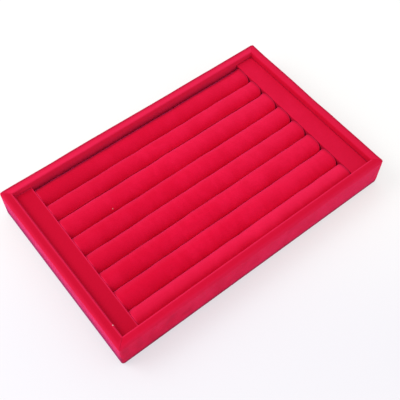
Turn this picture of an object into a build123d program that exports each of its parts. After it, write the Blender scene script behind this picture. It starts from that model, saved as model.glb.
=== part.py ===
from build123d import *
from math import radians, tan
import os

# A ring display tray. A mitred board frame holds a thin base board in a rebate, and one
# piece of velvet is wrapped over both. On the floor lies a card with a row of foam rolls,
# each in a velvet sleeve, that grip rings in the grooves between them. A velvet-covered
# bar closes each end of the row. Millimetres. The origin is the centre of the underside,
# X runs along the rolls, +Z points up and -Y is the front.

# Overall size over the velvet
tray_length = 225.0
tray_width = 141.8
tray_height = 25.5

# Velvet, lining, card and boards, and the glue line between the velvet and what it covers
velvet_thickness = 0.7
glue_gap = 0.05
lining_thickness = 0.6
card_thickness = 0.8
base_board_thickness = 2.5
rail_thickness = 5.0

# Frame, its corners a little rounder than its edges
rail_edge_radius = 1.2
corner_extra_radius = 0.1
velvet_foot_radius = 0.5
rebate_depth = 2.5
base_board_clearance = 0.1

# Pins
corner_pin_radius = 0.5
corner_pin_length = 14.0
corner_pin_margin = 6.0
base_pin_radius = 0.4
base_pin_length = 9.0
base_pin_spacing = 62.0
pin_recess = 0.3
pin_clearance = 0.02
pin_point_length = 1.0
pin_point_radius = 0.1

# Velvet turned under the base and onto the floor, and the lining over its lower edge
turn_under = 12.0
turn_in = 9.0
lining_inset = 3.0
lining_corner_radius = 2.0

# Card on the floor
card_clearance = 0.2

# End bars, which stand a little out of square
bar_height = 15.3
left_bar_width = 12.6
right_bar_width = 14.4
bar_edge_radius = 1.2
bar_turn_under = 4.0
bar_wall_gap = 0.15
bar_skew = 0.55

# Rolls, from the back of the tray to the front, each as wide as its share of the row
roll_width_shares = (1.04, 0.885, 1.075, 1.02, 0.995, 1.005, 1.075, 0.905)
roll_height = 15.0
roll_foot_radius = 5.5
roll_side_flat = 0.3
roll_end_radius = 2.0
roll_gap = 0.1
roll_wall_gap = 0.15
roll_end_gap = 0.3
roll_seam_gap = 3.0
roll_end_lip = 6.0

# Each cut runs past the face that it opens by this much
overrun = 2.0

# Heights of the layers, from the underside up
velvet_bottom = lining_thickness
board_bottom = velvet_bottom + velvet_thickness
board_top = board_bottom + base_board_thickness
floor_top = board_top + velvet_thickness
card_top = floor_top + card_thickness

# Frame and well, bare and covered
cover = velvet_thickness + glue_gap
frame_length = tray_length - 2 * cover
frame_width = tray_width - 2 * cover
frame_corner_radius = rail_edge_radius + corner_extra_radius
rail_top = tray_height - cover
bare_well_length = frame_length - 2 * rail_thickness
bare_well_width = frame_width - 2 * rail_thickness
well_length = bare_well_length - 2 * cover
well_width = bare_well_width - 2 * cover

# Row of rolls, and the bars that close it
row_width = well_width - 2 * roll_wall_gap
skew_run = tan(radians(bar_skew))
bar_wander = row_width / 2 * skew_run
left_bar_outer = -well_length / 2 + bar_wall_gap + bar_wander
right_bar_outer = well_length / 2 - bar_wall_gap - bar_wander
row_start = left_bar_outer + left_bar_width
row_end = right_bar_outer - right_bar_width
roll_length = row_end - row_start - 2 * roll_end_gap

os.makedirs("parts", exist_ok=True)


def finish(block, label):
    """Name a finished piece and write it to its own file."""
    block.part.label = label
    export_step(block.part, f"parts/{label}.step")


def frame_form(growth, bottom, floor):
    """The frame and its base as one open tray, grown outwards by growth.

    bottom is the height of its underside and floor that of the floor of its well.
    """
    with BuildPart() as form:
        with BuildSketch(Plane.XY.offset(bottom)):
            RectangleRounded(
                frame_length + 2 * growth,
                frame_width + 2 * growth,
                frame_corner_radius + growth,
            )
        extrude(amount=rail_top + growth - bottom)
        with BuildSketch(Plane.XY.offset(floor)):
            Rectangle(bare_well_length - 2 * growth, bare_well_width - 2 * growth)
        extrude(amount=rail_top + growth - floor, mode=Mode.SUBTRACT)
        fillet(form.faces().sort_by(Axis.Z)[-1].edges(), rail_edge_radius + growth)
    return form.part


def pin(radius, length):
    """A headless pin with a blunt point, its head at the origin and its point up."""
    with BuildPart() as nail:
        with BuildSketch(Plane.XZ):
            with BuildLine():
                Polyline(
                    (0, 0),
                    (radius, 0),
                    (radius, length - pin_point_length),
                    (pin_point_radius, length),
                    (0, length),
                    close=True,
                )
            make_face()
        revolve(axis=Axis.Z)
    return nail.part


def pin_hole(radius, length):
    """The hole that a pin fills, run out past its head."""
    with BuildPart() as hole:
        with BuildSketch(Plane.XY.offset(-overrun)):
            Circle(radius + pin_clearance)
        extrude(amount=overrun + length + pin_clearance)
    return hole.part


def corner_pin_locations():
    """Two pins a corner, driven along X from the outer faces of the short rails."""
    head = frame_length / 2 - pin_recess
    side = frame_width / 2 - rail_thickness / 2
    heights = (board_bottom + corner_pin_margin, rail_top - corner_pin_margin)
    return [
        Location((end * head, way * side, height), (0, -end * 90, 0))
        for end in (-1, 1)
        for way in (-1, 1)
        for height in heights
    ]


def base_pin_locations():
    """Pins driven up through the edge of the base, three a long side and two a short."""
    inset = rail_thickness - rebate_depth / 2
    places = []
    for way in (-1, 1):
        side = way * (frame_width / 2 - inset)
        places += [(step * base_pin_spacing, side, board_bottom) for step in (-1, 0, 1)]
        end = way * (frame_length / 2 - inset)
        places += [(end, step * base_pin_spacing / 2, board_bottom) for step in (-1, 1)]
    return [Location(place) for place in places]


# Pins
corner_pin = pin(corner_pin_radius, corner_pin_length)
with BuildPart() as corner_pins:
    with Locations(*corner_pin_locations()):
        add(corner_pin)
finish(corner_pins, "corner_pins")

base_pin = pin(base_pin_radius, base_pin_length)
with BuildPart() as base_pins:
    with Locations(*base_pin_locations()):
        add(base_pin)
finish(base_pins, "base_pins")

# Rails, mitred at both ends and rebated for the base board. Each is listed with the way
# it runs, with the tray on its left, and with the length of its own side and of the next.
corner_hole = pin_hole(corner_pin_radius, corner_pin_length)
base_hole = pin_hole(base_pin_radius, base_pin_length)
rail_sides = (
    ("rail_front", (1, 0, 0), frame_length, frame_width),
    ("rail_right", (0, 1, 0), frame_width, frame_length),
    ("rail_back", (-1, 0, 0), frame_length, frame_width),
    ("rail_left", (0, -1, 0), frame_width, frame_length),
)
for label, way, own_side, next_side in rail_sides:
    rail_plane = Plane((0, 0, board_bottom), x_dir=way, z_dir=(0, 0, 1))
    well_side = -next_side / 2 + rail_thickness
    long_half = own_side / 2 + overrun
    short_half = own_side / 2 - rail_thickness
    with BuildPart() as rail:
        with BuildSketch(rail_plane):
            with BuildLine():
                Polyline(
                    (-long_half, -next_side / 2 - overrun),
                    (long_half, -next_side / 2 - overrun),
                    (short_half, well_side),
                    (-short_half, well_side),
                    close=True,
                )
            make_face()
            RectangleRounded(own_side, next_side, frame_corner_radius, mode=Mode.INTERSECT)
        extrude(amount=rail_top - board_bottom)
        top_edges = rail.faces().sort_by(Axis.Z)[-1].edges()
        along = top_edges.filter_by(Axis((0, 0, 0), way))
        fillet(along + top_edges.filter_by(GeomType.CIRCLE), rail_edge_radius)
        with BuildSketch(rail_plane):
            with Locations((0, well_side)):
                Rectangle(own_side, 2 * rebate_depth)
        extrude(amount=base_board_thickness, mode=Mode.SUBTRACT)
        with Locations(*corner_pin_locations()):
            add(corner_hole, mode=Mode.SUBTRACT)
        with Locations(*base_pin_locations()):
            add(base_hole, mode=Mode.SUBTRACT)
    finish(rail, label)

# Base board, seated in the rebate under the rails
with BuildPart() as base_board:
    with BuildSketch(Plane.XY.offset(board_bottom)):
        Rectangle(
            bare_well_length + 2 * (rebate_depth - base_board_clearance),
            bare_well_width + 2 * (rebate_depth - base_board_clearance),
        )
    extrude(amount=base_board_thickness)
    with Locations(*base_pin_locations()):
        add(base_hole, mode=Mode.SUBTRACT)
finish(base_board, "base_board")

# Velvet over the frame, turned in on the floor and turned under the base
velvet_form = frame_form(cover, velvet_bottom, floor_top)
covered_form = frame_form(glue_gap, board_bottom, board_top)
with BuildPart() as frame_velvet:
    add(velvet_form)
    foot = frame_velvet.faces().sort_by(Axis.Z)[0]
    fillet(foot.edges(), velvet_foot_radius)
    add(covered_form, mode=Mode.SUBTRACT)
    with BuildSketch(Plane.XY.offset(board_top)):
        Rectangle(well_length - 2 * turn_in, well_width - 2 * turn_in)
    extrude(amount=velvet_thickness, mode=Mode.SUBTRACT)
    with BuildSketch(Plane.XY.offset(velvet_bottom)):
        Rectangle(tray_length - 2 * turn_under, tray_width - 2 * turn_under)
    extrude(amount=velvet_thickness, mode=Mode.SUBTRACT)
finish(frame_velvet, "frame_velvet")

# Lining under the base, over the edge of the turned-under velvet
with BuildPart() as underside_lining:
    with BuildSketch():
        RectangleRounded(
            tray_length - 2 * lining_inset,
            tray_width - 2 * lining_inset,
            lining_corner_radius,
        )
    extrude(amount=lining_thickness)
finish(underside_lining, "underside_lining")

# Card on the floor, which carries the rolls and the bars
with BuildPart() as insert_card:
    with BuildSketch(Plane.XY.offset(floor_top)):
        Rectangle(well_length - 2 * card_clearance, well_width - 2 * card_clearance)
    extrude(amount=card_thickness)
finish(insert_card, "insert_card")


# End bars
def bar_form(center, width, inset):
    """An end bar of the given width about X = center, drawn in by inset all round."""
    length = row_width - width * skew_run
    with BuildPart() as form:
        with BuildSketch(Plane.XY.offset(card_top + inset)):
            with Locations((center, 0)):
                Rectangle(width - 2 * inset, length - 2 * inset, rotation=-bar_skew)
        extrude(amount=bar_height - 2 * inset)
        levels = form.edges().group_by(Axis.Z)
        fillet(levels[1] + levels[2], bar_edge_radius - inset)
    return form.part


bars = (
    ("left", left_bar_outer + left_bar_width / 2, left_bar_width),
    ("right", right_bar_outer - right_bar_width / 2, right_bar_width),
)
for side, center, width in bars:
    outside = bar_form(center, width, 0)
    inside = bar_form(center, width, velvet_thickness)
    filling = bar_form(center, width, cover)
    with BuildPart() as bar_velvet:
        add(outside)
        add(inside, mode=Mode.SUBTRACT)
        with BuildSketch(Plane.XY.offset(card_top)):
            with Locations((center, 0)):
                Rectangle(
                    width - 2 * bar_turn_under,
                    row_width - width * skew_run - 2 * bar_turn_under,
                    rotation=-bar_skew,
                )
        extrude(amount=cover, mode=Mode.SUBTRACT)
    finish(bar_velvet, f"end_bar_velvet_{side}")
    with BuildPart() as bar_core:
        add(filling)
    finish(bar_core, f"end_bar_core_{side}")


# Rolls
def roll_form(x, y, width, inset):
    """A roll about X = x and Y = y, drawn in by inset all round.

    It is round on top, flat where it is glued down and soft at its ends. Its crown is half
    a circle, or a flatter arc on a roll so wide that its sides would vanish.
    """
    half = width / 2 - inset
    height = roll_height - 2 * inset
    foot = roll_foot_radius - inset
    spring = max(height - half, foot + roll_side_flat)
    start = (x - roll_length / 2 + inset, y, card_top + inset)
    with BuildPart() as form:
        with BuildSketch(Plane(start, x_dir=(0, 1, 0), z_dir=(1, 0, 0))) as section:
            with BuildLine():
                Polyline((-half, spring), (-half, 0), (half, 0), (half, spring))
                ThreePointArc((half, spring), (0, height), (-half, spring))
            make_face()
            fillet(section.vertices().group_by(Axis.Y)[0], foot)
        extrude(amount=roll_length - 2 * inset)
        ends = form.faces().sort_by(Axis.X)
        fillet(ends[0].edges() + ends[-1].edges(), roll_end_radius - inset)
    return form.part


pitch = row_width / sum(roll_width_shares)
back_edge = row_width / 2
for number, share in enumerate(roll_width_shares, start=1):
    y = back_edge - share * pitch / 2
    back_edge -= share * pitch
    x = (row_start + row_end) / 2 + y * skew_run
    width = share * pitch - roll_gap
    outside = roll_form(x, y, width, 0)
    inside = roll_form(x, y, width, velvet_thickness)
    filling = roll_form(x, y, width, cover)
    with BuildPart() as roll_sleeve:
        add(outside)
        add(inside, mode=Mode.SUBTRACT)
        with BuildSketch(Plane.XY.offset(card_top)):
            with Locations((x, y)):
                Rectangle(roll_length - 2 * roll_end_lip, roll_seam_gap)
        extrude(amount=cover, mode=Mode.SUBTRACT)
    finish(roll_sleeve, f"roll_sleeve_{number}")
    with BuildPart() as roll_core:
        add(filling)
    finish(roll_core, f"roll_core_{number}")
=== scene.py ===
"""A velvet ring tray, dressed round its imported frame.

The frame gives every size and place in metres. The cloth, the foam and the lining are
modelled here, the boards and pins keep their own meshes and take a finish, and a plain
studio with one camera shows the tray.
"""
import logging
import math
from collections.abc import Callable, Iterable, Iterator
from contextlib import contextmanager
from dataclasses import dataclass
from enum import Enum
from functools import partial
from typing import ClassVar

import bmesh
import bpy
import numpy as np
from bpy.types import Material, Node, NodeSocket, NodeTree, Object
from mathutils import Matrix, Vector, noise


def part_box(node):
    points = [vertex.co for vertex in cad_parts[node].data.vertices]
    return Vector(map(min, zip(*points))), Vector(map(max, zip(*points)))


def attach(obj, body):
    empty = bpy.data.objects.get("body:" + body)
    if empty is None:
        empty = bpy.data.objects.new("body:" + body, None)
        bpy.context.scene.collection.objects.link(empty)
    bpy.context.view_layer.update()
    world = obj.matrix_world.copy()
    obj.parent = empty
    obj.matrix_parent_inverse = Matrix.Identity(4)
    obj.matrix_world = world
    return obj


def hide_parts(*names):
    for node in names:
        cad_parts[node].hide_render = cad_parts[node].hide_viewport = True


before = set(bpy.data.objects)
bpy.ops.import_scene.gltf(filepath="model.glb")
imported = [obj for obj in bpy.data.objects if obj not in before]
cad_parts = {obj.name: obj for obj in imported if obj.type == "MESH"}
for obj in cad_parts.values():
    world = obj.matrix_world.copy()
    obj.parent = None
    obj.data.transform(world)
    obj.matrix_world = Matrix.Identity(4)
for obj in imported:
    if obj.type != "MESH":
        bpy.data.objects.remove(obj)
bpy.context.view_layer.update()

MM = 0.001
TINY = 0.01 * MM
Array = np.ndarray
Span = tuple[float, float]
Three = tuple[float, float, float]
Sides = tuple[float, float, float, float]
Test = Callable[[Vector, Vector], bool]
log = logging.getLogger("tray")


class Side(Enum):
    """The two ends of the tray, with the way each lies along X."""

    LEFT = -1
    RIGHT = 1


class Pick(Enum):
    """What an edit-mode operator acts on."""

    FACES = "FACE"
    EDGES = "EDGE"


# Colours and shader groups


@dataclass(frozen=True)
class Colour:
    """A colour as it reads on a screen, each channel from 0 to 255."""

    red: float
    green: float
    blue: float

    @property
    def linear(self) -> tuple[float, ...]:
        """The colour in scene-linear light.

        Returns:
            Red, green, blue and full alpha, from 0 to 1.
        """
        screen = [channel / 255 for channel in (self.red, self.green, self.blue)]
        light = [c / 12.92 if c <= 0.04045 else ((c + 0.055) / 1.055) ** 2.4 for c in screen]
        return (*light, 1.0)


class NodeSheet:
    """Adds and joins the nodes of one material, world or shader group."""

    def __init__(self, tree: NodeTree) -> None:
        """Start on a node tree, and clear its old nodes."""
        self.tree = tree
        tree.nodes.clear()

    def put(self, node: Node, inputs: dict[str | int, object]) -> None:
        """Fill some inputs of a node.

        Args:
            node: The node.
            inputs: What each input takes, by its name or number. A socket is joined, and a
                colour, vector or number is set.
        """
        for key, value in inputs.items():
            if isinstance(value, NodeSocket):
                self.tree.links.new(value, node.inputs[key])
            else:
                plain = value.linear if isinstance(value, Colour) else value
                node.inputs[key].default_value = plain

    def add(self, kind: str, *numbered: object, **named: object) -> Node:
        """Add a node.

        Args:
            kind: The node's type name, without its ShaderNode prefix.
            *numbered: What its first inputs take, in order.
            **named: What its other inputs take, by names that start with a capital and have
                underscores for spaces, and its own properties, in small letters.

        Returns:
            The new node.
        """
        node = self.tree.nodes.new(f"ShaderNode{kind}")
        inputs = dict(enumerate(numbered))
        for name, value in named.items():
            if name[0].isupper():
                inputs[name.replace("_", " ")] = value
            else:
                setattr(node, name, value)
        self.put(node, inputs)
        return node

    def maths(self, operation: str, *values: object) -> NodeSocket:
        """The result of a Math node on one to three values or sockets."""
        return self.add("Math", *values, operation=operation).outputs[0]

    def scaled(self, place: object, ways: object) -> NodeSocket:
        """A place stretched along each axis."""
        return self.add("VectorMath", place, ways, operation="MULTIPLY").outputs[0]

    def between(self, value: NodeSocket, *ends: float) -> NodeSocket:
        """A value mapped smoothly from one low and high to another, and held at its ends."""
        return self.add("MapRange", value, *ends, interpolation_type="SMOOTHSTEP").outputs[0]

    def layered(self, base: object, *layers: tuple[object, object]) -> object:
        """Lay colours over one another.

        Args:
            base: The colour at the bottom.
            *layers: The share, from 0 to 1, and the colour of each layer from the bottom up.

        Returns:
            The colour that shows.
        """
        for share, colour in layers:
            node = self.add("Mix", data_type="RGBA", clamp_factor=True)
            self.put(node, {0: share, 6: base, 7: colour})
            base = node.outputs[2]
        return base


def new_group(
    name: str, *outputs: str, **inputs: object
) -> tuple[NodeSheet, bpy.types.bpy_prop_collection, Node]:
    """Start a shader group that works on a place.

    Args:
        name: The group's name.
        *outputs: The names of its outputs, each of which is a number.
        **inputs: The defaults of its other inputs, by names with underscores for spaces.

    Returns:
        The sheet to fill, what the group is given by name, and its output node.
    """
    tree = bpy.data.node_groups.new(name, "ShaderNodeTree")
    for label, default in {"Place": (0, 0, 0), **inputs}.items():
        kind = "NodeSocketVector" if isinstance(default, tuple) else "NodeSocketFloat"
        label = label.replace("_", " ")
        socket = tree.interface.new_socket(label, in_out="INPUT", socket_type=kind)
        socket.default_value = default
    for label in outputs:
        tree.interface.new_socket(label, in_out="OUTPUT", socket_type="NodeSocketFloat")
    sheet = NodeSheet(tree)
    return sheet, tree.nodes.new("NodeGroupInput").outputs, tree.nodes.new("NodeGroupOutput")


class Effects:
    """The shader groups that the finishes are made of."""

    def __init__(self) -> None:
        """Build each group once."""
        self.nap = self.build_nap()
        self.pile = self.build_pile()
        self.fleck = self.build_fleck()
        self.fibres = self.build_fibres()
        self.cells = self.build_cells()

    @staticmethod
    def build_nap() -> NodeTree:
        """Make the patches and strokes where the pile has been brushed another way.

        Returns:
            The group.
        """
        sheet, given, end = new_group(
            "brushed nap",
            "Nap",
            Patch_size=20 * MM,
            Stroke_size=4 * MM,
            Stroke_way=(1, 1, 1),
            Stroke_share=0.5,
        )
        patches = sheet.add(
            "TexNoise",
            Vector=given["Place"],
            Scale=sheet.maths("DIVIDE", 1.0, given["Patch size"]),
            Detail=2.0,
            Roughness=0.55,
        )
        strokes = sheet.add(
            "TexNoise",
            Vector=sheet.scaled(given["Place"], given["Stroke way"]),
            Scale=sheet.maths("DIVIDE", 1.0, given["Stroke size"]),
            Detail=3.0,
            Roughness=0.6,
            Distortion=0.4,
        )
        brushed = sheet.between(patches.outputs[0], 0.36, 0.64, 0.0, 1.0)
        stroked = sheet.between(strokes.outputs[0], 0.38, 0.66, 0.0, 1.0)
        mix = sheet.add("Mix", data_type="FLOAT")
        sheet.put(mix, {0: given["Stroke share"], 2: brushed, 3: stroked})
        sheet.put(end, {"Nap": mix.outputs[0]})
        return sheet.tree

    @staticmethod
    def build_pile() -> NodeTree:
        """Make the short upright fibres of the cloth, as fine height and shade.

        Returns:
            The group.
        """
        sheet, given, end = new_group("pile", "Height", "Shade", Tuft=0.5 * MM)
        place = given["Place"]
        scale = sheet.maths("DIVIDE", 1.0, given["Tuft"])
        wide = sheet.maths("MULTIPLY", scale, 0.22)
        tufts = sheet.add("TexNoise", Vector=place, Scale=scale, Detail=2.0, Roughness=0.7)
        clumps = sheet.add("TexNoise", Vector=place, Scale=wide, Detail=2.0, Roughness=0.5)
        fine = sheet.maths("MULTIPLY", tufts.outputs[0], 0.6)
        height = sheet.maths("MULTIPLY_ADD", clumps.outputs[0], 0.4, fine)
        shade = sheet.between(height, 0.38, 0.62, 0.0, 1.0)
        sheet.put(end, {"Height": height, "Shade": shade})
        return sheet.tree

    @staticmethod
    def build_fleck() -> NodeTree:
        """Make one fleck of lint about a point.

        Returns:
            The group.
        """
        sheet, given, end = new_group("lint fleck", "Mask", Centre=(0, 0, 0), Radius=0.5 * MM)
        away = sheet.add("VectorMath", given["Place"], given["Centre"], operation="DISTANCE")
        share = sheet.maths("DIVIDE", away.outputs["Value"], given["Radius"])
        sheet.put(end, {"Mask": sheet.between(share, 0.5, 1.0, 1.0, 0.0)})
        return sheet.tree

    @staticmethod
    def build_fibres() -> NodeTree:
        """Make short matted fibres, as in board, card and non-woven cloth.

        Returns:
            The group.
        """
        sheet, given, end = new_group(
            "matted fibres", "Height", "Speck", Length=2 * MM, Lie=(1, 1, 1)
        )
        laid = sheet.scaled(given["Place"], given["Lie"])
        scale = sheet.maths("DIVIDE", 1.0, given["Length"])
        fibres = sheet.add(
            "TexNoise", Vector=laid, Scale=scale, Detail=6.0, Roughness=0.75, Distortion=1.2
        )
        specks = sheet.add("TexVoronoi", Vector=laid, Scale=scale)
        speck = sheet.between(specks.outputs[0], 0.05, 0.35, 1.0, 0.0)
        sheet.put(end, {"Height": fibres.outputs[0], "Speck": speck})
        return sheet.tree

    @staticmethod
    def build_cells() -> NodeTree:
        """Make small round cells, as in foam or an embossed sheet.

        Returns:
            The group.
        """
        sheet, given, end = new_group("cells", "Height", "Pit", Cell=1 * MM, Disorder=1.0)
        cells = sheet.add(
            "TexVoronoi",
            Vector=given["Place"],
            Scale=sheet.maths("DIVIDE", 1.0, given["Cell"]),
            Randomness=given["Disorder"],
        )
        height = sheet.between(cells.outputs[0], 0.1, 0.5, 0.0, 1.0)
        pit = sheet.between(cells.outputs[0], 0.0, 0.25, 1.0, 0.0)
        sheet.put(end, {"Height": height, "Pit": pit})
        return sheet.tree


class MaterialSheet(NodeSheet):
    """The nodes of one material, with the shared effects and the place on the piece at hand."""

    def __init__(self, tree: NodeTree, effects: Effects) -> None:
        """Start on a material's node tree.

        Args:
            tree: The node tree to fill.
            effects: The shared shader groups.
        """
        super().__init__(tree)
        self.effects = effects
        self.place = self.add("TexCoord").outputs["Object"]

    def effect(self, group: NodeTree, **sockets: object) -> bpy.types.bpy_prop_collection:
        """What one effect puts out at this place, with the material's own values."""
        return self.add("Group", node_tree=group, Place=self.place, **sockets).outputs

    def painted(self, name: str) -> NodeSocket:
        """The number that was painted on the piece under this name."""
        return self.add("Attribute", attribute_name=name).outputs["Fac"]

    def surface(
        self, height: NodeSocket, strength: float, relief: float, **sockets: object
    ) -> None:
        """Close the material with its bump, shader and output.

        Args:
            height: The height that the bump follows.
            strength: The bump's strength.
            relief: How deep a height of 1 is.
            **sockets: What the shader's other inputs take.
        """
        bump = self.add("Bump", Strength=strength, Distance=relief, Height=height)
        shader = self.add("BsdfPrincipled", Normal=bump.outputs[0], **sockets)
        self.add("OutputMaterial", Surface=shader.outputs[0])


# Finishes


class Finish:
    """What every finish does: it makes a material in its own look."""

    def look(self, sheet: MaterialSheet) -> None:
        """Lay out the nodes of this finish."""
        raise NotImplementedError

    def material(self, name: str, effects: Effects) -> Material:
        """Make the material.

        Args:
            name: The material's name.
            effects: The shared shader groups.

        Returns:
            The material.
        """
        material = bpy.data.materials.new(name)
        material.use_nodes = True
        self.look(MaterialSheet(material.node_tree, effects))
        return material


@dataclass(frozen=True)
class Fleck:
    """A fleck of lint on the cloth."""

    place: Three
    radius: float


@dataclass(frozen=True)
class Velvet(Finish):
    """Short-pile velvet, whose colour turns with the nap, lightens where it is worn and where a
    highlight is painted, and darkens where shade is painted.
    """

    base: Colour = Colour(219, 2, 50)
    # Lighter nap colour; it also carries painted light on the left and front faces of the frame.
    brushed: Colour = Colour(236, 10, 66)
    # Painted shade between the tufts of the pile.
    deep: Colour = Colour(196, 3, 42)
    # Darker colour for pile pressed flat and for painted shade.
    pressed_and_shaded: Colour = Colour(188, 3, 42)
    # Lighter, pinker colour for worn cloth and for painted highlights.
    wear_and_highlight: Colour = Colour(238, 40, 90)
    lint: Colour = Colour(244, 226, 226)
    # The colour of painted shade at the feet, in crevices and beside the bars.
    painted_shade: Colour = Colour(96, 2, 26)
    brushed_share: float = 0.6
    gap_share: float = 0.3
    wear_and_highlight_share: float = 0.6
    sheen: Colour = Colour(255, 96, 196)
    sheen_weight: float = 0.6
    sheen_roughness: float = 0.3
    roughness: float = 0.92
    smooth_roughness: float = 0.8
    full_lean: float = 1.4
    specular: float = 0.12
    tuft: float = 0.45 * MM
    pile_depth: float = 0.25 * MM
    bump: float = 0.6
    patch_size: float = 22 * MM
    stroke_size: float = 5 * MM
    stroke_way: Three = (1.0, 0.45, 0.45)
    stroke_share: float = 0.45
    flecks: tuple[Fleck, ...] = (
        Fleck((-106.4 * MM, -55.1 * MM, 25.0 * MM), 0.6 * MM),
        Fleck((-57.1 * MM, 18.2 * MM, 16.6 * MM), 0.9 * MM),
    )

    def look(self, sheet: MaterialSheet) -> None:
        """Mix the colour from the nap, the pile and what is painted on the piece.

        Args:
            sheet: The material's nodes.
        """
        nap = sheet.effect(
            sheet.effects.nap,
            Patch_size=self.patch_size,
            Stroke_size=self.stroke_size,
            Stroke_way=self.stroke_way,
            Stroke_share=self.stroke_share,
        )
        pile = sheet.effect(sheet.effects.pile, Tuft=self.tuft)
        turned = sheet.painted("turned")
        lean = sheet.maths("ADD", nap["Nap"], turned)
        layers = [
            # Lighter where the nap leans, which includes painted light on some faces.
            (sheet.maths("MULTIPLY", lean, self.brushed_share), self.brushed),
            # Pressed pile and painted shade.
            (sheet.maths("MULTIPLY", turned, -1.0), self.pressed_and_shaded),
            # Painted shade between the tufts.
            (
                sheet.maths("MULTIPLY_ADD", pile["Shade"], -self.gap_share, self.gap_share),
                self.deep,
            ),
            # Wear and painted highlights.
            (sheet.maths("MULTIPLY", sheet.painted("wear_and_highlight"), self.wear_and_highlight_share), self.wear_and_highlight),
            # Painted shade.
            (sheet.painted("painted_shade"), self.painted_shade),
        ]
        for fleck in self.flecks:
            spot = sheet.effect(sheet.effects.fleck, Centre=fleck.place, Radius=fleck.radius)
            layers.append((spot["Mask"], self.lint))
        sheet.surface(
            pile["Height"],
            self.bump,
            self.pile_depth,
            Base_Color=sheet.layered(self.base, *layers),
            Roughness=sheet.between(
                lean, 0.0, self.full_lean, self.roughness, self.smooth_roughness
            ),
            Specular_IOR_Level=self.specular,
            Sheen_Weight=self.sheen_weight,
            Sheen_Roughness=self.sheen_roughness,
            Sheen_Tint=self.sheen,
        )


@dataclass(frozen=True)
class Matted(Finish):
    """A surface of matted fibres: fibreboard, grey card or non-woven lining."""

    base: Colour
    dark: Colour
    light: Colour
    fibre: float = 2 * MM
    lie: Three = (1.0, 1.0, 1.0)
    light_share: float = 0.7
    speck_share: float = 0.55
    relief: float = 0.12 * MM
    bump: float = 0.7
    roughness: float = 0.85
    smoother: float = 0.1
    embossed: float = 0.0
    # Share of painted shade in the embossed pits.
    emboss_share: float = 0.5
    emboss_height: float = 1.5

    def look(self, sheet: MaterialSheet) -> None:
        """Mix the colour from the fibres, their specks and the embossed dots.

        Args:
            sheet: The material's nodes.
        """
        fibres = sheet.effect(sheet.effects.fibres, Length=self.fibre, Lie=self.lie)
        height = fibres["Height"]
        layers = [
            (sheet.between(height, 0.4, 0.62, 0.0, self.light_share), self.light),
            (sheet.maths("MULTIPLY", fibres["Speck"], self.speck_share), self.dark),
        ]
        if self.embossed:
            dots = sheet.effect(sheet.effects.cells, Cell=self.embossed, Disorder=0.0)
            # Painted shade in the pits of the embossed dots.
            layers.append((sheet.maths("MULTIPLY", dots["Pit"], self.emboss_share), self.dark))
            height = sheet.maths("MULTIPLY_ADD", dots["Height"], self.emboss_height, height)
        smooth = self.roughness - self.smoother
        sheet.surface(
            height,
            self.bump,
            self.relief,
            Base_Color=sheet.layered(self.base, *layers),
            Roughness=sheet.between(height, 0.2, 0.8, smooth, self.roughness),
        )


@dataclass(frozen=True)
class Foam(Finish):
    """Open-cell foam."""

    base: Colour = Colour(236, 232, 222)
    # Painted shade in the cells.
    pit: Colour = Colour(196, 190, 176)
    cell: float = 0.9 * MM
    relief: float = 0.3 * MM
    bump: float = 0.8
    roughness: Span = (0.95, 0.8)

    def look(self, sheet: MaterialSheet) -> None:
        """Darken the foam's cells with painted shade, and roughen them.

        Args:
            sheet: The material's nodes.
        """
        cells = sheet.effect(sheet.effects.cells, Cell=self.cell, Disorder=1.0)
        sheet.surface(
            cells["Height"],
            self.bump,
            self.relief,
            Base_Color=sheet.layered(self.base, (cells["Pit"], self.pit)),
            Roughness=sheet.between(cells["Height"], 0.0, 1.0, *self.roughness),
        )


@dataclass(frozen=True)
class DrawnSteel(Finish):
    """The drawn wire of the pins, faintly scored along its length."""

    base: Colour = Colour(188, 189, 192)
    stain: Colour = Colour(138, 132, 126)
    stain_share: float = 0.8
    score: float = 0.3 * MM
    score_way: Three = (0.2, 1.0, 0.2)
    relief: float = 0.02 * MM
    bump: float = 0.3
    roughness: Span = (0.28, 0.55)

    def look(self, sheet: MaterialSheet) -> None:
        """Stain and score the bare metal.

        Args:
            sheet: The material's nodes.
        """
        marks = sheet.effect(sheet.effects.fibres, Length=self.score, Lie=self.score_way)
        height = marks["Height"]
        stained = sheet.between(height, 0.45, 0.7, 0.0, self.stain_share)
        sheet.surface(
            height,
            self.bump,
            self.relief,
            Base_Color=sheet.layered(self.base, (stained, self.stain)),
            Roughness=sheet.between(height, 0.3, 0.7, *self.roughness),
            Metallic=1.0,
        )


def dress(piece: Object, material: Material) -> None:
    """Give a piece one material in all its slots.

    Args:
        piece: The piece.
        material: The material.
    """
    if not piece.material_slots:
        piece.data.materials.append(material)
    for slot in piece.material_slots:
        slot.material = material


# The bench


def even(low: float, high: float, step: float) -> list[float]:
    """Places from low to high without the two ends, evenly spaced and about a step apart."""
    count = max(1, round((high - low) / step))
    return [low + (high - low) * n / count for n in range(1, count)]


def node_box(node: str) -> tuple[Vector, Vector]:
    """A CAD node's lowest and highest corners."""
    low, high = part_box(node)
    return Vector(low), Vector(high)


def ramp(values: Array, low: float, high: float) -> Array:
    """Values mapped smoothly to run from 0 at low to 1 at high."""
    share = np.clip((values - low) / (high - low), 0, 1)
    return share * share * (3 - 2 * share)


def rows(parts: bpy.types.bpy_prop_collection, field: str, width: int, kind: type) -> Array:
    """Read one field of a mesh's vertices, normals or edges.

    Args:
        parts: The vertices, normals or edges.
        field: The field's name.
        width: How many numbers it has.
        kind: What kind of number.

    Returns:
        One row for each.
    """
    flat = np.empty(width * len(parts), dtype=kind)
    parts.foreach_get(field, flat)
    return flat.reshape(-1, width)


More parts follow.
